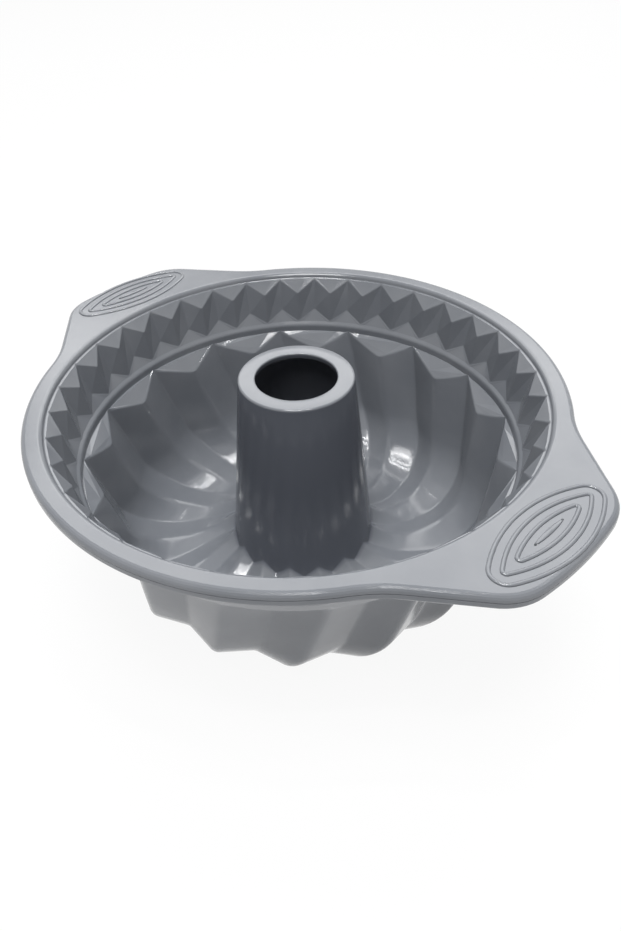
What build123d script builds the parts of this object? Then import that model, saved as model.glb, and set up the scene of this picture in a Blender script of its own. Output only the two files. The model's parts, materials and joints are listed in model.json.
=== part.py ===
import os
from math import atan2, cos, degrees, radians, sin, sqrt
from build123d import *

os.makedirs("parts", exist_ok=True)

# A swirled ring cake mould: one silicone moulding with a steel frame sealed in its rim.
# Z is up, the pan rests on z = 0, the tube's axis is Z and the handles lie on the X axis.
# Depths are measured down from the flat top of the rim, to the cavity's surface.

# Driving dimensions of the rim and wall, in millimetres
cavity_radius = 113.0
rim_width = 8.7
rim_thickness = 6.2
rim_edge_bevel = 1.5
lip_drop = 2.0
lip_bevel = 0.8
wall = 2.2
foot_flat = 0.5
overrun = 5.0

# The pleated band under the rim: grooves point outwards, ridges inwards
# Insets are measured inwards from the cavity's edge at the rim
pleat_count = 36
pleat_turn = 1.8
pleat_top_groove_inset = 1.6
pleat_top_ridge_inset = 6.8
pleat_top_ridge_depth = 9.0
pleat_low_groove_inset = 6.1
pleat_low_groove_depth = 19.2
pleat_low_ridge_inset = 9.5
pleat_low_ridge_depth = 25.2

# The swirled flutes, each line a sloping wall, a round bend and a floor that rises to the tube
flute_count = 16
flute_turn = 8.5
ledge_inset = 11.4
ledge_depth = 30.3
ledge_lap = 0.3
ridge_top_inset = 19.1
ridge_top_depth = 38.2
bend_centre_depth = 66.0
groove_bend_centre_inset = 48.0
groove_bend_radius = 30.0
ridge_bend_centre_inset = 52.0
ridge_bend_rise = 2.5
groove_root_lap = 0.7
groove_root_rise = 7.7
ridge_root_gap = 0.8
ridge_root_rise = 11.0
wall_swirl = -6.5
bend_swirl = -12.0
floor_swirl = -10.5
bend_stations = 4
floor_stations = 3
root_inset = 6.0

# The tube
tube_top_height = 6.0
tube_top_radius = 26.4
tube_top_bevel = 0.8
tube_root_radius = 36.2
tube_wall = 2.4
tube_lid = 3.0
tube_mouth_inset = 7.8
tube_sink = 1.0

# The handles and the leaf-shaped grip beads on them
handle_length = 25.3
handle_tip_half_width = 29.5
handle_tip_bow = 3.0
handle_root_inset = 16.8
handle_root_half_width = 61.3
handle_corner_round = 16.0
handle_neck_round = 65.0
grip_inset = 15.3
grip_height = 0.5
grip_bead = 1.9
grip_end_round = 4.0
grip_half_lengths = [33.5, 29.0, 22.5, 10.5]
grip_half_widths = [14.0, 9.2, 4.9, 1.0]

# The steel frame
wire_diameter = 3.6
wire_sides = 6
loop_inset = 7.0
loop_half_width = 26.0
loop_bend = 12.0
bond_gap = 0.1

# Places that follow from the sizes above
full_turn = 360
rim_radius = cavity_radius + rim_width
handle_reach = rim_radius + handle_length
floor_depth = bend_centre_depth + groove_bend_radius
root_depth = floor_depth - groove_root_rise
rim_top = floor_depth + wall - foot_flat
wire_height = rim_top - rim_thickness / 2
ring_radius = cavity_radius + rim_width / 2
pleat_top_groove_radius = cavity_radius - pleat_top_groove_inset
pleat_top_ridge_radius = cavity_radius - pleat_top_ridge_inset
pleat_low_groove_radius = cavity_radius - pleat_low_groove_inset
pleat_low_ridge_radius = cavity_radius - pleat_low_ridge_inset
ledge_radius = cavity_radius - ledge_inset
ridge_top_radius = cavity_radius - ridge_top_inset


def polar(radius, angle, height):
    return (radius * cos(radians(angle)), radius * sin(radians(angle)), height)


def round_plug(section):
    """A solid of revolution about the tube's axis, from a section of radii and depths."""
    with BuildPart() as plug:
        with BuildSketch(Plane.XZ):
            with BuildLine():
                Polyline([(radius, rim_top - depth) for radius, depth in section], close=True)
            make_face()
        revolve(axis=Axis.Z)
    return plug.part


def taper(low_radius, low_depth, high_radius, high_depth):
    """A tapered round plug between two depths."""
    with BuildPart() as plug:
        for radius, depth in ((low_radius, low_depth), (high_radius, high_depth)):
            with BuildSketch(Plane.XY.offset(rim_top - depth)):
                Circle(radius)
        loft(ruled=True)
    return plug.part


def facet_solid(rings):
    """A closed solid of flat triangles, from a level ring of corners down to the axis."""
    tip = (0, 0, rings[-1][0][2])
    faces = [Face(Wire.make_polygon(rings[0]))]
    for upper, lower in zip(rings, rings[1:]):
        for place in range(len(upper)):
            # Every side is split from a groove above to a ridge below
            if place % 2 == 0:
                faces.append(Face(Wire.make_polygon([upper[place - 1], upper[place], lower[place - 1]])))
                faces.append(Face(Wire.make_polygon([upper[place], lower[place], lower[place - 1]])))
            else:
                faces.append(Face(Wire.make_polygon([upper[place - 1], upper[place], lower[place]])))
                faces.append(Face(Wire.make_polygon([upper[place - 1], lower[place], lower[place - 1]])))
    for place in range(len(rings[-1])):
        faces.append(Face(Wire.make_polygon([rings[-1][place - 1], rings[-1][place], tip])))
    return Solid(Shell(faces))


def flute_line(top_radius, top_depth, centre_radius, bend, root_radius, root_rise, skin):
    """The radii and depths of one groove or ridge at each station, grown outwards by a skin."""
    across = top_radius + skin - centre_radius
    down = bend_centre_depth - top_depth
    bend = bend + skin
    start = degrees(atan2(sqrt(across ** 2 + down ** 2 - bend ** 2), bend) - atan2(down, across))
    line = []
    for station in range(bend_stations + 1):
        angle = start + (full_turn / 4 - start) * station / bend_stations
        line.append((centre_radius + bend * cos(radians(angle)),
                     bend_centre_depth + bend * sin(radians(angle))))
    slope = (top_radius + skin - line[0][0]) / (line[0][1] - top_depth)
    lip_depth = (pleat_low_ridge_depth + ledge_depth) / 2
    line.insert(0, (line[0][0] + slope * (line[0][1] - lip_depth), lip_depth))
    run = centre_radius - root_radius
    floor_bend = (run ** 2 + root_rise ** 2) / (2 * root_rise)
    for station in range(1, floor_stations + 1):
        inward = run * station / floor_stations
        fall = floor_bend - sqrt(floor_bend ** 2 - inward ** 2)
        line.append((centre_radius - inward, bend_centre_depth + bend - fall))
    line.append((root_radius - root_inset, root_depth + skin))
    return line


def swirl_angles():
    """How far the flutes have turned about the axis at each station."""
    turns = [0, wall_swirl]
    for station in range(bend_stations):
        turns.append(turns[-1] + bend_swirl / bend_stations)
    for station in range(floor_stations + 1):
        turns.append(turns[-1] + floor_swirl / floor_stations)
    return turns


def flute_space(skin):
    """The space inside the flutes and up to the pleats, grown outwards by a skin."""
    groove = flute_line(ledge_radius - ledge_lap, ledge_depth, cavity_radius - groove_bend_centre_inset,
                        groove_bend_radius, tube_root_radius - groove_root_lap, groove_root_rise, skin)
    ridge = flute_line(ridge_top_radius, ridge_top_depth, cavity_radius - ridge_bend_centre_inset,
                       groove_bend_radius - ridge_bend_rise, tube_root_radius + ridge_root_gap,
                       ridge_root_rise, skin)
    pitch = full_turn / flute_count
    rings = []
    for groove_point, ridge_point, turn in zip(groove, ridge, swirl_angles()):
        corners = []
        for flute in range(flute_count):
            angle = flute_turn + turn + flute * pitch
            corners.append(polar(groove_point[0], angle, rim_top - groove_point[1]))
            corners.append(polar(ridge_point[0], angle + pitch / 2, rim_top - ridge_point[1]))
        rings.append(corners)
    # The flutes' sloping tops lie on one cone that falls inwards from the ledge
    top_slope = (ridge_top_depth - ledge_depth) / (ledge_radius - ridge_top_radius)
    inner_radius = ridge_top_radius - overrun
    inner_depth = ridge_top_depth + overrun * top_slope
    with BuildPart() as space:
        add(round_plug([(0, pleat_low_ridge_depth), (pleat_low_ridge_radius + skin, pleat_low_ridge_depth),
                        (ledge_radius + skin, ledge_depth), (inner_radius + skin, inner_depth),
                        (0, inner_depth)]))
        add(facet_solid(rings))
    return space.part


def pleat_star(groove_radius, ridge_radius, depth):
    """A level ring of corners of the pleated band."""
    pitch = full_turn / pleat_count
    corners = []
    for pleat in range(pleat_count):
        angle = pleat_turn + pleat * pitch
        corners.append(polar(groove_radius, angle, rim_top - depth))
        corners.append(polar(ridge_radius, angle + pitch / 2, rim_top - depth))
    return corners


def pleat_space(skin):
    """The space inside the pleats, grown outwards by a skin."""
    groove_slope = (pleat_top_groove_radius - pleat_low_groove_radius) / (pleat_low_groove_depth - lip_drop)
    ridge_slope = ((pleat_top_ridge_radius - pleat_low_ridge_radius)
                   / (pleat_low_ridge_depth - pleat_top_ridge_depth))
    groove_foot = pleat_low_groove_radius - groove_slope * (pleat_low_ridge_depth - pleat_low_groove_depth)
    ridge_head = pleat_top_ridge_radius + ridge_slope * (pleat_top_ridge_depth - lip_drop)
    with BuildPart() as space:
        add(facet_solid([pleat_star(pleat_top_groove_radius + skin, ridge_head + skin, lip_drop),
                         pleat_star(groove_foot + skin, pleat_low_ridge_radius + skin,
                                    pleat_low_ridge_depth)]))
        # A shelf slopes up and outwards under the grooves
        add(round_plug([(0, lip_drop), (pleat_top_groove_radius + skin + overrun, lip_drop),
                        (pleat_low_groove_radius + skin, pleat_low_groove_depth),
                        (pleat_low_ridge_radius + skin, pleat_low_ridge_depth),
                        (0, pleat_low_ridge_depth)]), mode=Mode.INTERSECT)
        # The ridges' tops slope down and inwards
        add(round_plug([(0, lip_drop), (pleat_top_groove_radius + skin, lip_drop),
                        (pleat_top_ridge_radius + skin, pleat_top_ridge_depth),
                        (0, pleat_top_ridge_depth)]))
    return space.part


def leaf(half_length, half_width, inset, end_round):
    """A leaf outline of two arcs, its points on the Y axis, drawn in by an inset."""
    bow = (half_length ** 2 + half_width ** 2) / (2 * half_width)
    with BuildSketch() as outline:
        with Locations((bow - half_width, 0)):
            Circle(bow - inset)
        with Locations((half_width - bow, 0)):
            Circle(bow - inset, mode=Mode.INTERSECT)
        if end_round > 0:
            fillet(outline.vertices(), radius=end_round - inset)
    return outline.sketch


def frame_wire(swell):
    """The rim ring and the two handle loops as one wire path, swollen by a gap."""
    wire_radius = wire_diameter / 2 + swell
    with BuildPart() as ring:
        with BuildSketch(Plane.XZ):
            with Locations((ring_radius, wire_height)):
                RegularPolygon(wire_radius, wire_sides)
        revolve(axis=Axis.Z)
    loop_start = sqrt(ring_radius ** 2 - loop_half_width ** 2)
    loops = []
    for side in (1, -1):
        with BuildPart() as loop:
            loop_end = handle_reach - loop_inset
            with BuildLine(Plane.XY.offset(wire_height)):
                Polyline((side * loop_start, loop_half_width),
                         (side * (loop_end - loop_bend), loop_half_width),
                         (side * loop_end, loop_half_width - loop_bend),
                         (side * loop_end, loop_bend - loop_half_width),
                         (side * (loop_end - loop_bend), -loop_half_width),
                         (side * loop_start, -loop_half_width))
            with BuildSketch(Plane((side * loop_start, loop_half_width, wire_height), z_dir=(side, 0, 0))):
                RegularPolygon(wire_radius, wire_sides)
            sweep(transition=Transition.RIGHT)
            add(ring.part, mode=Mode.SUBTRACT)
        loops.append(loop.part)
    return ring.part, loops


# The steel frame: a wire ring with a loop welded on at each handle
ring_wire, loop_wires = frame_wire(0)
ring_wire.label = "rim_ring"
export_step(ring_wire, "parts/rim_ring.step")
for loop_wire, side_name in zip(loop_wires, ("right", "left")):
    loop_wire.label = "handle_loop_" + side_name
    export_step(loop_wire, "parts/handle_loop_" + side_name + ".step")

# The silicone moulding: rim, handles, pleated band, swirled flutes and tube in one shot
ring_channel, loop_channels = frame_wire(bond_gap)
tube_foot_depth = root_depth + tube_sink
with BuildPart() as mould:
    # The rim and handle plate
    with BuildSketch(Plane.XY.offset(rim_top - rim_thickness)) as plate:
        Circle(rim_radius)
        for side in (1, -1):
            with BuildLine():
                tip_bow = ThreePointArc((side * (handle_reach - handle_tip_bow), handle_tip_half_width),
                                        (side * handle_reach, 0),
                                        (side * (handle_reach - handle_tip_bow), -handle_tip_half_width))
                handle_root = rim_radius - handle_root_inset
                Polyline(tip_bow @ 1, (side * handle_root, -handle_root_half_width),
                         (side * handle_root, handle_root_half_width), tip_bow @ 0)
            make_face()
        tips = plate.vertices().group_by(lambda corner: abs(corner.X))[-1]
        fillet(tips, radius=handle_corner_round)
        necks = plate.vertices().group_by(lambda corner: round(abs(corner.Y)))[-1]
        fillet(necks, radius=handle_neck_round)
    extrude(amount=rim_thickness)
    chamfer(mould.faces().sort_by(Axis.Z)[-1].edges(), length=rim_edge_bevel)
    add(pleat_space(wall))
    add(flute_space(wall))
    # The cavity
    add(flute_space(0), mode=Mode.SUBTRACT)
    add(pleat_space(0), mode=Mode.SUBTRACT)
    add(round_plug([(0, -overrun), (cavity_radius, -overrun), (cavity_radius, 0),
                    (pleat_top_groove_radius, lip_drop), (0, lip_drop)]), mode=Mode.SUBTRACT)
    lip = mould.edges().filter_by_position(Axis.Z, rim_top, rim_top).filter_by(lambda edge: edge.is_closed)
    chamfer(lip, length=lip_bevel)
    # The tube and its bore
    add(taper(tube_root_radius, tube_foot_depth, tube_top_radius, -tube_top_height))
    chamfer(mould.faces().sort_by(Axis.Z)[-1].edges(), length=tube_top_bevel)
    tube_mouth_radius = tube_top_radius - tube_mouth_inset
    bore_radius = tube_root_radius - tube_wall
    add(taper(bore_radius, tube_foot_depth, tube_top_radius - tube_wall, tube_lid - tube_top_height),
        mode=Mode.SUBTRACT)
    with BuildSketch(Plane.XY.offset(rim_top + tube_top_height)):
        Circle(tube_mouth_radius)
    extrude(amount=-tube_lid, mode=Mode.SUBTRACT)
    with BuildSketch(Plane.XY.offset(rim_top - tube_foot_depth)):
        Circle(bore_radius)
    extrude(amount=-tube_foot_depth, mode=Mode.SUBTRACT)
    # The channel that the steel frame fills
    add(ring_channel, mode=Mode.SUBTRACT)
    for loop_channel in loop_channels:
        add(loop_channel, mode=Mode.SUBTRACT)
    # The flutes' lowest points are flattened where the pan rests
    split(bisect_by=Plane.XY, keep=Keep.TOP)
    # The grip beads
    with BuildSketch(Plane.XY.offset(rim_top)):
        with Locations((handle_reach - grip_inset, 0), (grip_inset - handle_reach, 0)):
            for place, (half_length, half_width) in enumerate(zip(grip_half_lengths, grip_half_widths)):
                end_round = grip_end_round if place == 0 else 0
                add(leaf(half_length, half_width, 0, end_round))
                if half_width > grip_bead:
                    add(leaf(half_length, half_width, grip_bead, end_round), mode=Mode.SUBTRACT)
    extrude(amount=grip_height)
mould.part.label = "silicone_mould"
export_step(mould.part, "parts/silicone_mould.step")
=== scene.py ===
import json
from math import atan2, cos, degrees, hypot, pi, radians, sin, sqrt

import bmesh
import bpy
from mathutils import Matrix, Vector

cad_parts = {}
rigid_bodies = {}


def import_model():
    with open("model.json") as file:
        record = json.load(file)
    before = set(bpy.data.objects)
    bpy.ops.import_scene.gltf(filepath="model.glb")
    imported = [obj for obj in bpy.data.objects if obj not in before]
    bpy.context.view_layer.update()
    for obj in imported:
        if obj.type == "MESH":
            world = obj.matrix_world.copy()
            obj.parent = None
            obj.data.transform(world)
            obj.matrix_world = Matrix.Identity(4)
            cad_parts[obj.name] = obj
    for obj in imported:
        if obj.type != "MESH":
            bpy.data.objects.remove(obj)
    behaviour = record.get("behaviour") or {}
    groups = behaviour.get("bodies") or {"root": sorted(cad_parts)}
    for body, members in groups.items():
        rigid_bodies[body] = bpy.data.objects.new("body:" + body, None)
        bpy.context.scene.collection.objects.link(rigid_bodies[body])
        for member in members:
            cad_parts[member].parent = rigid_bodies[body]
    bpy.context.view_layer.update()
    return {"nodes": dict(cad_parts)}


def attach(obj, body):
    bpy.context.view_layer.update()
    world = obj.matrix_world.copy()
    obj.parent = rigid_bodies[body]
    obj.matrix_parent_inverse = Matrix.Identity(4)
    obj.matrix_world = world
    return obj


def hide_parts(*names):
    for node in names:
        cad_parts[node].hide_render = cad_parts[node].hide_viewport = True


for spare in list(bpy.data.objects):
    bpy.data.objects.remove(spare)
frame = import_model()

# The camera
# It stands where the photograph was taken from, a little above the pan's right handle.
# The view is a plain perspective with no depth of field.
mm = 0.001
picture_height = 931
focal_pixels = 760.8
look_elevation = radians(40.4)
look_roll = radians(-2.23)
look_turn = radians(-312.5)
# The target and the distance are shares of the cavity's radius
look_target = Vector((0.043, -0.490, 0.0))
look_distance = 2.682
cavity_radius = 113.0 * mm
rim_top = 97.7 * mm
sensor = 36.0
nearest_seen, farthest_seen = 0.01, 20

look_back = Vector((0, -cos(look_elevation), sin(look_elevation)))
look_right = Vector((1, 0, 0))
look_up = look_right.cross(-look_back)
camera_right = cos(look_roll) * look_right + sin(look_roll) * look_up
camera_up = cos(look_roll) * look_up - sin(look_roll) * look_right
camera_place = (look_target + look_back * look_distance) * cavity_radius
camera_place.z += rim_top
camera_matrix = Matrix((camera_right, camera_up, look_back)).transposed().to_4x4()
camera_matrix.translation = camera_place
camera_data = bpy.data.cameras.new("photo_camera")
camera = bpy.data.objects.new("photo_camera", camera_data)
camera.matrix_world = Matrix.Rotation(look_turn, 4, "Z") @ camera_matrix
camera_data.sensor_width = sensor
camera_data.lens = focal_pixels * sensor / picture_height
camera_data.clip_start = nearest_seen
camera_data.clip_end = farthest_seen
bpy.context.scene.collection.objects.link(camera)
bpy.context.scene.camera = camera
bpy.context.scene.view_settings.view_transform = "Standard"


# The studio
# A pale floor under the pan, a white surround, two soft boxes for the light, and four strips
# set in a square overhead for the glints in the flutes.
class Wire:
    """A shader socket, on which sums and products add the nodes they need."""

    def __init__(self, tree, socket):
        self.tree = tree
        self.socket = socket

    def node(self, kind, settings=None, **sockets):
        """Adds a node. A socket's name is spelt with _ for a space, or is i and its number."""
        node = self.tree.nodes.new(kind)
        for name, value in (settings or {}).items():
            setattr(node, name, value)
        for name, value in sockets.items():
            key = int(name[1:]) if name[1:].isdigit() else name.replace("_", " ")
            if isinstance(value, Wire):
                self.tree.links.new(value.socket, node.inputs[key])
            else:
                node.inputs[key].default_value = value
        return node

    def out(self, kind, settings=None, output=0, **sockets):
        """Adds a node and gives one of its outputs."""
        return Wire(self.tree, self.node(kind, settings, **sockets).outputs[output])

    def maths(self, operation, a, b):
        return self.out("ShaderNodeMath", {"operation": operation}, i0=a, i1=b)

    def __add__(self, other):
        return self.maths("ADD", self, other)

    def __radd__(self, other):
        return self.maths("ADD", other, self)

    def __mul__(self, other):
        return self.maths("MULTIPLY", self, other)

    def __rmul__(self, other):
        return self.maths("MULTIPLY", other, self)


def new_material(name):
    """An empty material, and the wire to its surface."""
    material = bpy.data.materials.new(name)
    material.use_nodes = True
    tree = material.node_tree
    tree.nodes.clear()
    output = tree.nodes.new("ShaderNodeOutputMaterial")
    return material, Wire(tree, output.inputs["Surface"])


def finish_material(surface, shader):
    surface.tree.links.new(shader.socket, surface.socket)


def object_place(surface):
    """The place on the piece itself, in metres."""
    return surface.out("ShaderNodeTexCoord", output=3)


def fade(surface, value, start, end, first, last):
    """Goes from first to last while the value goes from start to end."""
    return surface.out("ShaderNodeMapRange", i0=value, i1=start, i2=end, i3=first, i4=last)


def shown_rays(surface):
    """1 for what the camera sees, also in a mirror or through glass, and 0 for light on the pan."""
    path = surface.node("ShaderNodeLightPath")
    names = ("Is Camera Ray", "Is Glossy Ray", "Is Transmission Ray")
    seen, mirrored, through = [Wire(surface.tree, path.outputs[name]) for name in names]
    return surface.maths("MINIMUM", seen + mirrored + through, 1.0)


floor_colour = (0.9, 0.9, 0.9, 1)
pure_white = (1, 1, 1, 1)
floor_half_width = 6
dark_radius, white_radius = 40 * mm, 60 * mm
white_share = 0.93
floor_white, surface = new_material("floor_white")
soft = surface.out("ShaderNodeBsdfPrincipled", Base_Color=floor_colour, Roughness=0.9)
white = surface.out("ShaderNodeEmission", Color=pure_white, Strength=1.0)
# Where the tube stands the floor stays in the dark, so that the hollow tube doesn't glow
away = surface.out("ShaderNodeVectorMath", {"operation": "LENGTH"}, 1, i0=object_place(surface))
beyond_tube = fade(surface, away, dark_radius, white_radius, 0.0, white_share)
lifted = surface.out("ShaderNodeMixShader", i0=shown_rays(surface) * beyond_tube, i1=soft, i2=white)
finish_material(surface, lifted)

bm = bmesh.new()
bmesh.ops.create_grid(bm, x_segments=1, y_segments=1, size=floor_half_width)
floor_mesh = bpy.data.meshes.new("floor")
bm.to_mesh(floor_mesh)
bm.free()
floor = bpy.data.objects.new("floor", floor_mesh)
floor_mesh.materials.append(floor_white)
bpy.context.scene.collection.objects.link(floor)

room_strength, paper_strength = 0.13, 1.0
world = bpy.data.worlds.new("studio_surround")
bpy.context.scene.world = world
world.use_nodes = True
world.node_tree.nodes.clear()
world_output = world.node_tree.nodes.new("ShaderNodeOutputWorld")
sky = Wire(world.node_tree, world_output.inputs["Surface"])
room = sky.out("ShaderNodeBackground", Color=pure_white, Strength=room_strength)
paper = sky.out("ShaderNodeBackground", Color=pure_white, Strength=paper_strength)
finish_material(sky, sky.out("ShaderNodeMixShader", i0=shown_rays(sky), i1=room, i2=paper))

# Each lamp: its name, its place as the camera faces the pan, its width, height and watts
lamps = [("back_box", (0.15, 1.3, 1.5), 2.1, 1.3, 25), ("top_box", (-0.1, -0.42, 1.25), 0.45, 0.45, 7.2)]
square_middle, square_half, square_height = -0.12, 0.22, 1.29
strip_width, strip_length, strip_watts = 0.022, 0.46, 2.4
for side in (-1, 1):
    long_place = (square_half * side, square_middle, square_height)
    cross_place = (0, square_middle + square_half * side, square_height)
    lamps.append(("long_strip", long_place, strip_width, strip_length, strip_watts))
    lamps.append(("cross_strip", cross_place, strip_length, strip_width, strip_watts))

camera_turn = Matrix.Rotation(look_turn, 3, "Z")
pan_middle = Vector((0, 0, 0.05))
for name, place, width, height, watts in lamps:
    lamp = bpy.data.lights.new(name, "AREA")
    lamp.shape = "RECTANGLE"
    lamp.size = width
    lamp.size_y = height
    lamp.energy = watts
    holder = bpy.data.objects.new(name, lamp)
    holder.location = camera_turn @ Vector(place)
    holder.rotation_euler = (pan_middle - camera_turn @ Vector(place)).to_track_quat("-Z", "Y").to_euler()
    bpy.context.scene.collection.objects.link(holder)

# The silicone moulding
# One shot of grey silicone rubber: rim, handles, pleated band, swirled flutes and tube.
# The tool leaves crisp pleats, softly rounded flutes and a fine parting line round the rim.
rim_width = 8.7 * mm
rim_radius = cavity_radius + rim_width
rim_thickness = 6.2 * mm
wall = 2.2 * mm
widest_round = 3.6 * mm
weld_distance = 0.02 * mm


def new_piece():
    """An empty mesh whose edges can carry their rounding."""
    bm = bmesh.new()
    bm.edges.layers.float.new("bevel_weight_edge")
    return bm


def set_round(bm, edges, size):
    """Marks edges that the bevel rounds, by their share of the widest rounding."""
    layer = bm.edges.layers.float["bevel_weight_edge"]
    for edge in edges:
        edge[layer] = size / widest_round


def polar(radius, angle, depth):
    """A point at an angle in degrees about the tube, at a depth below the rim's top."""
    return Vector((radius * cos(radians(angle)), radius * sin(radians(angle)), rim_top - depth))


def ring(bm, radius, depth, count, angle):
    """A level circle of corners, one of them at the angle given."""
    place = Matrix.Translation((0, 0, rim_top - depth)) @ Matrix.Rotation(radians(angle - 90), 4, "Z")
    bmesh.ops.create_circle(bm, cap_ends=False, segments=count, radius=radius, matrix=place)


def chain(bm, points):
    """A run of edges through the points."""
    verts = [bm.verts.new(point) for point in points]
    return [bm.edges.new(pair) for pair in zip(verts, verts[1:])]


def weld(bm):
    bmesh.ops.remove_doubles(bm, verts=bm.verts[:], dist=weld_distance)


def repeat_round(bm, count):
    """Copies all that the mesh holds so far about the tube's axis."""
    geometry = bm.verts[:] + bm.edges[:] + bm.faces[:]
    bmesh.ops.spin(bm, geom=geometry, axis=(0, 0, 1), cent=(0, 0, 0),
                   angle=2 * pi * (count - 1) / count, steps=count - 1, use_duplicate=True)
    weld(bm)


def join(bm, part):
    """Adds a part's mesh to the moulding."""
    carrier = bpy.data.meshes.new("carrier")
    part.to_mesh(carrier)
    part.free()
    bm.from_mesh(carrier)
    bpy.data.meshes.remove(carrier)


def open_edges(bm, low_radius, high_radius, low_depth, high_depth):
    """The open edges whose middles lie between two radii and two depths, in millimetres."""
    found = []
    for edge in bm.edges:
        middle = (edge.verts[0].co + edge.verts[1].co) / 2
        radius, depth = hypot(middle.x, middle.y) / mm, (rim_top - middle.z) / mm
        if edge.is_boundary and low_radius < radius < high_radius and low_depth < depth < high_depth:
            found.append(edge)
    return found


def bridge(bm, edges):
    """Closes the gap between two runs or rings of edges."""
    bmesh.ops.bridge_loops(bm, edges=edges)


def carry_on(bm, edges, place, size=0.0):
    """Carries a ring of open edges on to where place puts each angle, and gives the new edges."""
    made = bmesh.ops.extrude_edge_only(bm, edges=edges)["geom"]
    for vert in [item for item in made if isinstance(item, bmesh.types.BMVert)]:
        vert.co = place(degrees(atan2(vert.co.y, vert.co.x)))
    edges = [item for item in made if isinstance(item, bmesh.types.BMEdge) and item.is_boundary]
    set_round(bm, edges, size)
    return edges


def draw_out(bm, edges, *circles):
    """Carries open edges on through circles, each with a radius, a depth and a rounding."""
    for radius, depth, size in circles:
        edges = carry_on(bm, edges, lambda angle: polar(radius, angle, depth), size)
    return edges


# The pleated band: straight grooves and ridges, with a flat sloping facet over and under each
pleat_count, pleat_turn = 36, 1.8
band_top = (111.4 * mm, 2.6 * mm)
outer_band_top = (112.8 * mm, rim_thickness)
pleat_groove_foot = (106.9 * mm, 19.2 * mm)
pleat_ridge_head = (106.2 * mm, 9.0 * mm)
pleat_ridge_foot = (103.5 * mm, 25.2 * mm)
rim_steps, ledge_steps = 432, 288
facet_mark = 1


def pleat_band(skin, top, groove_round, ridge_round, edge_round):
    """The pleated band between two circles, grown outwards by a skin."""
    bm = new_piece()
    pitch = 360 / pleat_count
    groove = [polar(top[0], pleat_turn, top[1]),
              polar(pleat_groove_foot[0] + skin, pleat_turn, pleat_groove_foot[1])]
    ridge = [polar(radius + skin, pleat_turn + pitch / 2, depth)
             for radius, depth in (pleat_ridge_head, pleat_ridge_foot)]
    next_groove = [Matrix.Rotation(radians(pitch), 3, "Z") @ point for point in groove]
    grooves, ridges, next_grooves = [chain(bm, points) for points in (groove, ridge, next_groove)]
    bridge(bm, grooves + ridges)
    bridge(bm, ridges + next_grooves)
    set_round(bm, bm.edges, edge_round)
    set_round(bm, grooves + next_grooves, groove_round)
    set_round(bm, ridges, ridge_round)
    repeat_round(bm, pleat_count)
    ring(bm, *top, rim_steps, pleat_turn)
    ring(bm, pleat_ridge_foot[0] + skin, pleat_ridge_foot[1], ledge_steps, pleat_turn + pitch / 2)
    weld(bm)
    gaps = [edge for edge in bm.edges if edge.is_boundary or edge.is_wire]
    bmesh.ops.holes_fill(bm, edges=gaps, sides=pleat_count // 2)
    for face in bm.faces:
        face.material_index = facet_mark
    return bm


# The flutes: each line runs down the wall, round a bend and up the floor to the tube
flute_count, flute_turn = 16, 8.5
ledge = (101.6 * mm, 30.3 * mm)
ridge_top = (93.9 * mm, 38.2 * mm)
turn_start = 27.75 * mm
wall_swirl, bend_swirl, floor_swirl = -6.5, -12.0, -10.5
wall_steps, bend_steps, floor_steps = 4, 14, 9
bend_depth = 66.0 * mm
# Each line's bend: its middle's radius, its own radius, and how far the floor rises from it
groove_bend = (65.0 * mm, 30.0 * mm, 7.7 * mm)
ridge_bend = (61.0 * mm, 27.5 * mm, 11.0 * mm)
narrowing = 0.026
sheet_cuts = 3


def flute_line(top, bend, root_radius, skin, angle):
    """The corners of one groove or ridge, grown outwards by a skin."""
    centre, bend_radius, rise = bend
    across, down = top[0] + skin - centre, bend_depth - top[1]
    bend_radius = bend_radius + skin
    start = atan2(sqrt(across ** 2 + down ** 2 - bend_radius ** 2), bend_radius) - atan2(down, across)
    first = (centre + bend_radius * cos(start), bend_depth + bend_radius * sin(start))
    points = []
    for step in range(wall_steps):
        part = step / wall_steps
        depth = top[1] + (first[1] - top[1]) * part
        radius = top[0] + skin + (first[0] - top[0] - skin) * part
        turned = wall_swirl * (depth - turn_start) / (first[1] - turn_start)
        points.append(polar(radius, angle + turned, depth))
    for step in range(bend_steps):
        slope = start + (pi / 2 - start) * step / bend_steps
        turned = wall_swirl + bend_swirl * step / bend_steps
        points.append(polar(centre + bend_radius * cos(slope), angle + turned,
                            bend_depth + bend_radius * sin(slope)))
    run = centre - root_radius
    floor_bend = (run ** 2 + rise ** 2) / (2 * rise)
    for step in range(floor_steps + 1):
        inward = run * step / floor_steps
        fall = floor_bend - sqrt(floor_bend ** 2 - inward ** 2)
        turned = wall_swirl + bend_swirl + floor_swirl * step / floor_steps
        points.append(polar(centre - inward, angle + turned, bend_depth + bend_radius - fall))
    return points


def on_wall(edge):
    """Whether an edge lies above the flutes' bend."""
    return min(vert.co.z for vert in edge.verts) > rim_top - bend_depth


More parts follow.
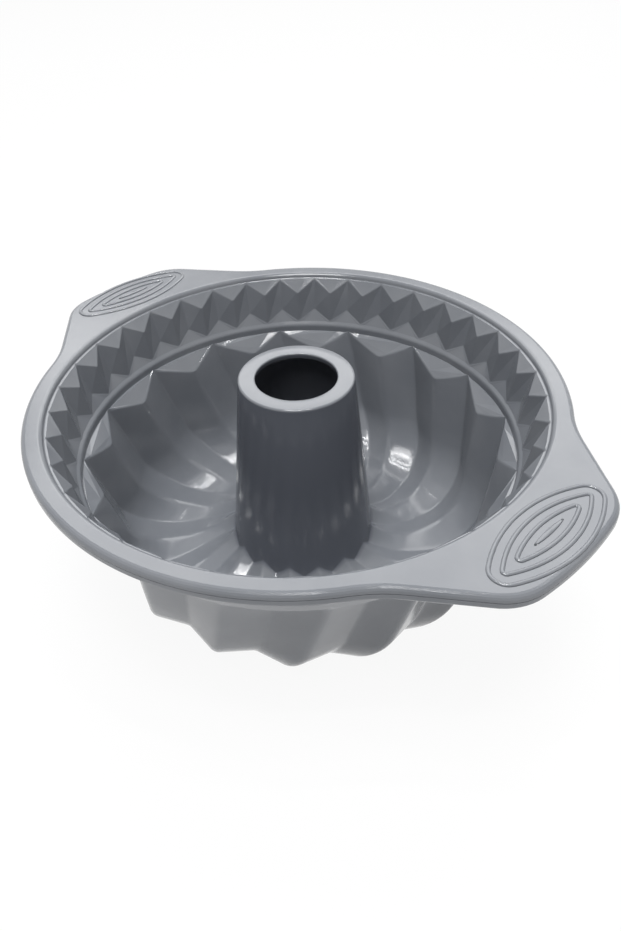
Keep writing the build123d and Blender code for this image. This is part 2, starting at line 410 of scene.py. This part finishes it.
def flute_sheet(skin, root_radius, groove_round, ridge_round, edge_round):
    """The fluted wall and floor from the ledge to the tube, grown outwards by a skin."""
    bm = new_piece()
    pitch = 360 / flute_count
    groove = flute_line(ledge, groove_bend, root_radius, skin, flute_turn)
    ridge = flute_line(ridge_top, ridge_bend, root_radius, skin, flute_turn + pitch / 2)
    next_groove = [Matrix.Rotation(radians(pitch), 3, "Z") @ point for point in groove]
    grooves, ridges, next_grooves = [chain(bm, points) for points in (groove, ridge, next_groove)]
    lines = set(grooves + ridges + next_grooves)
    bridge(bm, grooves + ridges)
    bridge(bm, ridges + next_grooves)
    # The rounding narrows with the flutes towards the tube
    for line, size in ((grooves + next_grooves, groove_round), (ridges, ridge_round)):
        for edge in line:
            set_round(bm, [edge], min(size, narrowing * edge.verts[1].co.to_2d().length))
    set_round(bm, [edge for edge in bm.edges if edge.is_boundary and edge not in lines and on_wall(edge)],
              edge_round)
    between = [edge for edge in bm.edges if edge not in lines]
    bmesh.ops.subdivide_edges(bm, edges=between, cuts=sheet_cuts, use_grid_fill=True)
    repeat_round(bm, flute_count)
    ring(bm, ledge[0] + skin, ledge[1], ledge_steps, degrees(atan2(groove[0].y, groove[0].x)))
    weld(bm)
    gaps = [edge for edge in bm.edges if (edge.is_boundary or edge.is_wire) and on_wall(edge)]
    filled = bmesh.ops.holes_fill(bm, edges=gaps, sides=ledge_steps // 2)
    for face in filled["faces"]:
        face.material_index = facet_mark
    return bm


# The cavity's side of the moulding, with a ledge between the pleats and the flutes
ledge_lip = (101.9 * mm, 27.0 * mm, 0.9 * mm)
floor_end, outer_floor_end = 35.9 * mm, 33.8 * mm
mould = pleat_band(0, band_top, 0.4 * mm, 0.8 * mm, 0.4 * mm)
join(mould, flute_sheet(0, floor_end, 1.0 * mm, 2.2 * mm, 0.8 * mm))
draw_out(mould, open_edges(mould, 103, 105, 24, 26), ledge_lip)
bridge(mould, open_edges(mould, 101, 103, 26, 31))

# The tube: a tapered wall, a flat top with a round mouth, and a hollow bore
tube_top = (26.4 * mm, -6.0 * mm)
tube_foot = (36.2 * mm, 89.3 * mm)
tube_wall, tube_lid, mouth_radius = 2.4 * mm, 3.0 * mm, 18.6 * mm
foot_round, brim_round, mouth_round = 0.5 * mm, 1.0 * mm, 0.7 * mm
low_depth, foot_depth, middle_depth, bore_depth = 80 * mm, 77 * mm, 40 * mm, 76 * mm


def tube_circle(depth, inset=0.0):
    """The circle on the tube's side at a depth, drawn in by an inset, with no rounding."""
    part = (depth - tube_top[1]) / (tube_foot[1] - tube_top[1])
    return tube_top[0] + (tube_foot[0] - tube_top[0]) * part - inset, depth, 0.0


edges = open_edges(mould, 30, 40, 70, 95)
set_round(mould, edges, foot_round)
draw_out(mould, edges,
         tube_circle(low_depth), tube_circle(foot_depth), tube_circle(middle_depth),
         (*tube_top, brim_round),
         (mouth_radius, tube_top[1], mouth_round),
         (mouth_radius, tube_top[1] + tube_lid, mouth_round),
         (tube_top[0] - tube_wall, tube_top[1] + tube_lid, brim_round),
         tube_circle(middle_depth, tube_wall), tube_circle(bore_depth, tube_wall))

# The outside, a skin's thickness away: its lobes are the grooves, its valleys the ridges
outside = flute_sheet(wall, outer_floor_end, 3.6 * mm, 1.2 * mm, 1.5 * mm)
join(outside, pleat_band(wall, outer_band_top, 1.8 * mm, 0.5 * mm, 0.8 * mm))
bridge(outside, open_edges(outside, 103, 107, 24, 31))
join(mould, outside)
bridge(mould, open_edges(mould, 25, 35, 60, 95))

# The rim and handles, from the lip over the edge and back under to the wall
handle_reach, tip_half_width, tip_bow = 147.0 * mm, 32.0 * mm, 3.2 * mm
root_reach, root_half_width = 104.9 * mm, 62.0 * mm
corner_round, neck_round = 23.0 * mm, 62.0 * mm


def outline_radius(angle):
    """How far the plan's edge lies from the axis, at an angle in degrees."""
    folded = abs((angle + 90) % 180 - 90)
    reach = Vector((cos(radians(folded)), sin(radians(folded))))
    tip_radius = (tip_half_width ** 2 + tip_bow ** 2) / (2 * tip_bow)
    tip_centre = Vector((handle_reach - tip_radius, 0))
    tip, root = Vector((handle_reach - tip_bow, tip_half_width)), Vector((root_reach, root_half_width))
    along = (root - tip).normalized()
    outward = Vector((along.y, -along.x))
    line_away = tip.dot(outward)
    # The corner's round lies inside the tip's arc and inside the slope
    away = line_away - corner_round - tip_centre.dot(outward)
    corner = tip_centre + outward * away - along * sqrt((tip_radius - corner_round) ** 2 - away ** 2)
    # The neck's round lies outside the rim and outside the slope
    away = line_away + neck_round
    neck = outward * away - along * sqrt((rim_radius + neck_round) ** 2 - away ** 2)

    def hit(centre, radius, far):
        """Where the ray at this angle meets a circle, on its far or its near side."""
        inward = reach.dot(centre)
        square = radius ** 2 - centre.length_squared + inward ** 2
        return inward + sqrt(square) * (1 if far else -1)

    corner_start = corner + (corner - tip_centre).normalized() * corner_round
    corner_end = corner + outward * corner_round
    neck_start = neck - outward * neck_round
    neck_end = neck.normalized() * rim_radius
    joints = [degrees(atan2(point.y, point.x)) for point in (corner_start, corner_end, neck_start, neck_end)]
    if folded < joints[0]:
        return hit(tip_centre, tip_radius, True)
    if folded < joints[1]:
        return hit(corner, corner_round, True)
    if folded < joints[2]:
        return line_away / reach.dot(outward)
    if folded < joints[3]:
        return hit(neck, neck_round, False)
    return rim_radius


def plan_rings(bm, edges, *rings):
    """Carries open edges on along the plan's edge, each ring with an inset, a depth and a rounding."""
    for inset, depth, size in rings:
        edges = carry_on(bm, edges, lambda angle: polar(outline_radius(angle) - inset, angle, depth), size)
    return edges


lip_foot = (112.3 * mm, 2.5 * mm, 0.4 * mm)
lip_round, lip_width = 1.6 * mm, 2.6 * mm
rim_round, underside_round, rim_inset = 2.3 * mm, 1.4 * mm, 5.0 * mm
parting_depth, parting_inset, parting_half = 2.85 * mm, 0.5 * mm, 0.15 * mm
edges = draw_out(mould, open_edges(mould, 111, 112, 1, 3), lip_foot,
                 (cavity_radius, 0, lip_round), (cavity_radius + lip_width, 0, 0))
plan_rings(mould, edges,
           (rim_inset, 0, 0), (0, 0, rim_round),
           (0, parting_depth - parting_half, 0), (parting_inset, parting_depth, 0),
           (0, parting_depth + parting_half, 0),
           (0, rim_thickness, underside_round), (rim_inset, rim_thickness, 0))
plan_rings(mould, open_edges(mould, 112, 113.5, 6, 7), (rim_inset, rim_thickness, 0))
weld(mould)
for vert in mould.verts:
    vert.co.z = max(vert.co.z, 0)
bmesh.ops.recalc_face_normals(mould, faces=mould.faces[:])
for face in mould.faces:
    face.smooth = face.material_index != facet_mark
    face.material_index = 0


def new_object(name, bm, material):
    """A shown piece of the pan, riding on its one body."""
    mesh = bpy.data.meshes.new(name)
    bm.to_mesh(mesh)
    bm.free()
    mesh.materials.append(material)
    piece = bpy.data.objects.new(name, mesh)
    bpy.context.scene.collection.objects.link(piece)
    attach(piece, "root")
    return piece


def noise(surface, scale, detail):
    """Soft random spots, so many to a metre."""
    return surface.out("ShaderNodeTexNoise", {"noise_dimensions": "3D"},
                       Vector=object_place(surface), Scale=scale, Detail=detail)


def blend_colours(surface, part, first, second):
    return surface.out("ShaderNodeMix", {"data_type": "RGBA"}, 2, i0=part, i6=first, i7=second)


# Silicone: a dense grey rubber with a satin skin and pale dust patches; convex edges are rougher with wear
# and painted paler as an edge highlight, and the tube's sides and bore are painted darker as shade
silicone_grey = (0.165, 0.176, 0.195, 1)
# Pale colour for the dust patches and for the painted highlight on convex edges
silicone_dust_and_highlight = (0.232, 0.242, 0.258, 1)
# The colour of the painted shade on the tube, which sits deep in the cavity
silicone_painted_shade = (0.112, 0.120, 0.142, 1)
silicone_gloss = 1.5
tube_edge, tube_beyond = 35.5 * mm, 37.5 * mm
brim_below, brim_top = 102.5 * mm, 103.4 * mm
silicone, surface = new_material("grey_silicone")
clouds = noise(surface, 38.0, 4.0)
specks = noise(surface, 420.0, 3.0)
skin = noise(surface, 2600.0, 2.0)
shape = surface.node("ShaderNodeNewGeometry")
# Convex edges: painted paler as an edge highlight, and made rougher as wear
edge_highlight_and_wear = fade(surface, Wire(surface.tree, shape.outputs["Pointiness"]), 0.53, 0.64, 0.0, 1.0)
dust = fade(surface, clouds, 0.35, 0.75, 0.0, 0.45)
place = surface.node("ShaderNodeSeparateXYZ", Vector=object_place(surface))
east, north, height = [Wire(surface.tree, place.outputs[axis]) for axis in ("X", "Y", "Z")]
reach = surface.out("ShaderNodeMath", {"operation": "SQRT"}, i0=east * east + north * north)
# Painted shade: the tube's sides and bore are coloured darker, up to just under its top
shaded_tube_reach = fade(surface, reach, tube_edge, tube_beyond, 1.0, 0.0)
shaded_below_brim = fade(surface, height, brim_below, brim_top, 1.0, 0.0)
# Dust patches and the painted edge highlight lighten the grey
plain = blend_colours(surface, dust + edge_highlight_and_wear * 0.5, silicone_grey, silicone_dust_and_highlight)
colour = blend_colours(surface, shaded_tube_reach * shaded_below_brim, plain, silicone_painted_shade)
roughness = 0.06 + clouds * 0.08 + specks * 0.03 + edge_highlight_and_wear * 0.05
bump = surface.out("ShaderNodeBump", Strength=0.08, Distance=0.2 * mm, Height=skin + clouds * 2.0)
rubber = surface.out("ShaderNodeBsdfPrincipled", Base_Color=colour, Roughness=roughness, Normal=bump,
                     IOR=silicone_gloss)
finish_material(surface, rubber)

moulding = new_object("silicone_moulding", mould, silicone)
rounded = moulding.modifiers.new("rounded_edges", "BEVEL")
rounded.limit_method = "WEIGHT"
rounded.width = widest_round
rounded.segments = 4
rounded.profile = 0.5
rounded.use_clamp_overlap = False
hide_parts("silicone_mould")

# The grip beads
# Part of the same silicone shot: three nested leaf-shaped beads and a sliver on each handle.
# They stand under a millimetre proud, so that a wet or gloved hand doesn't slip.
grip_inset = 15.3 * mm
bead_width, bead_height, bead_sink = 2.1 * mm, 0.8 * mm, 0.3 * mm
# Each leaf: half its length, half its width, and the round of its ends
bead_sizes = ((38.5 * mm, 14.0 * mm, 7.0 * mm),
              (30.5 * mm, 9.6 * mm, 2.4 * mm),
              (23.5 * mm, 5.4 * mm, 2.3 * mm))
sliver_size = (12.0 * mm, 1.3 * mm, 0.5 * mm)
sliver_slope, sliver_height = 0.2 * mm, 0.8 * bead_height
# A bead's section: shares of its width, and of its height or, below 0, of its sunk foot
bead_section = ((0.0, -1.0), (0.1, 0.5), (0.5, 1.0), (0.9, 0.5), (1.0, -1.0))
side_steps, end_steps = 20, 5


def leaf_line(half_length, half_width, end_round, inset, height):
    """Corners round a leaf of two arcs with rounded ends, drawn in by an inset."""
    bow = (half_length ** 2 + half_width ** 2) / (2 * half_width)
    away, bend, end = bow - half_width, bow - inset, end_round - inset
    end_place = sqrt((bend - end) ** 2 - away ** 2)
    swing = atan2(end_place, away)
    slopes = [swing * step / side_steps for step in range(side_steps)]
    side = [(bend * cos(slope) - away, bend * sin(slope)) for slope in slopes]
    slopes = [swing + (pi / 2 - swing) * step / end_steps for step in range(end_steps)]
    side += [(end * cos(slope), end_place + end * sin(slope)) for slope in slopes]
    upper = side + [(0, end_place + end)] + [(-x, y) for x, y in side[:0:-1]]
    return [Vector((x, y, rim_top + height)) for x, y in upper + [(-x, -y) for x, y in upper]]


def leaf_ring(bm, places):
    """A closed run of edges through the places."""
    verts = [bm.verts.new(place) for place in places]
    return [bm.edges.new(pair) for pair in zip(verts, verts[1:] + verts[:1])]


beads = new_piece()
for size in bead_sizes:
    rings = []
    for across, up in bead_section:
        rise = up * bead_height if up > 0 else up * bead_sink
        rings.append(leaf_ring(beads, leaf_line(*size, across * bead_width, rise)))
    for outer, inner in zip(rings, rings[1:] + rings[:1]):
        bridge(beads, outer + inner)
foot = leaf_ring(beads, leaf_line(*sliver_size, 0, -bead_sink))
crest = leaf_ring(beads, leaf_line(*sliver_size, sliver_slope, sliver_height))
bridge(beads, foot + crest)
bmesh.ops.holes_fill(beads, edges=foot + crest, sides=0)
bmesh.ops.translate(beads, verts=beads.verts[:], vec=(handle_reach - grip_inset, 0, 0))
bmesh.ops.recalc_face_normals(beads, faces=beads.faces[:])
for face in beads.faces:
    face.smooth = True
left_beads = beads.copy()
half_turn = Matrix.Rotation(pi, 3, "Z")
bmesh.ops.rotate(left_beads, verts=left_beads.verts[:], cent=(0, 0, 0), matrix=half_turn)
for name, bm in (("grip_beads_right", beads), ("grip_beads_left", left_beads)):
    grip = new_object(name, bm, silicone)
    softened = grip.modifiers.new("softened", "SUBSURF")
    softened.levels = softened.render_levels = 1

# The steel frame
# A ring of drawn stainless wire in the rim, with a wire loop welded on for each handle.
# It is laid in the tool before the shot, so the silicone hides it; its shape comes from CAD.
steel_grey = (0.52, 0.52, 0.53, 1)
steel_dull = (0.36, 0.36, 0.37, 1)
steel, surface = new_material("drawn_steel")
stains = noise(surface, 90.0, 4.0)
draw_marks = noise(surface, 1800.0, 2.0)
metal = blend_colours(surface, stains, steel_grey, steel_dull)
scratches = surface.out("ShaderNodeBump", Strength=0.15, Distance=0.1 * mm, Height=draw_marks)
drawn = surface.out("ShaderNodeBsdfPrincipled", Base_Color=metal, Metallic=1.0,
                    Roughness=0.22 + stains * 0.25, Normal=scratches)
finish_material(surface, drawn)
for name in ("rim_ring", "handle_loop_right", "handle_loop_left"):
    node = frame["nodes"][name]
    node.data.materials.clear()
    node.data.materials.append(steel)
